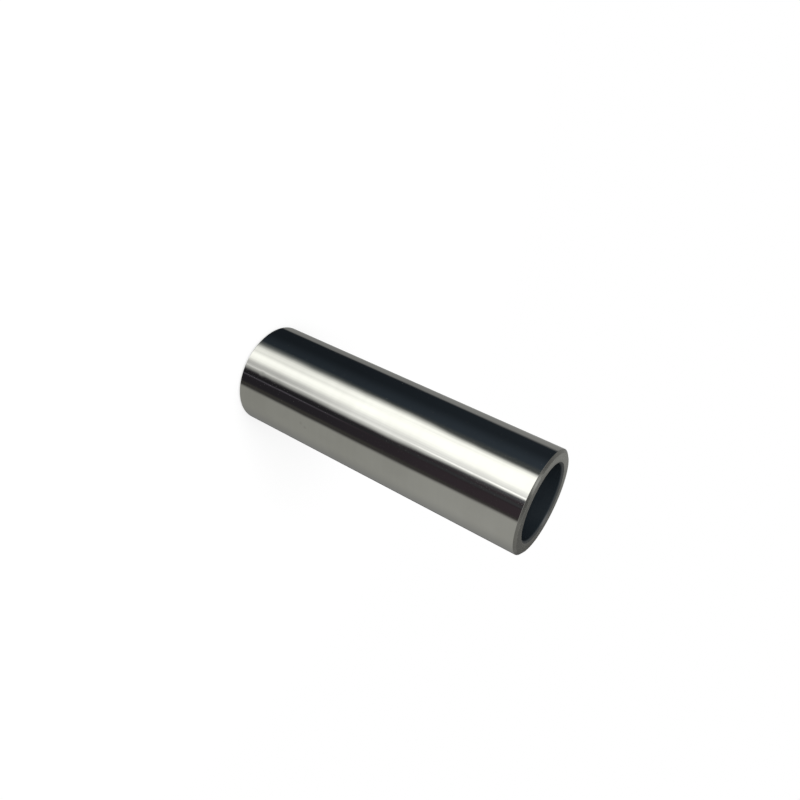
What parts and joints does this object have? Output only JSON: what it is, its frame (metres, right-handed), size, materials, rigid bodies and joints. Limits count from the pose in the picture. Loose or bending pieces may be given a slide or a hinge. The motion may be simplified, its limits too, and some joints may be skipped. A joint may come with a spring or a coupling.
{
  "type": "gudgeon pin",
  "caption": "Hollow ground steel pin with a through bore and chamfered ends, which joins a piston to the small end of its connecting rod.",
  "frame": {"origin": "middle of the lower end face, on the pin's axis", "axes": "+Z along the pin's axis towards its upper end; X and Y are any two square directions across it"},
  "size_m": [0.022, 0.022, 0.068],
  "materials": {
    "ground_steel": "polished"
  },
  "bodies": {
    "root": {"gudgeon_pin": "ground_steel"}
  },
  "joints": []
}
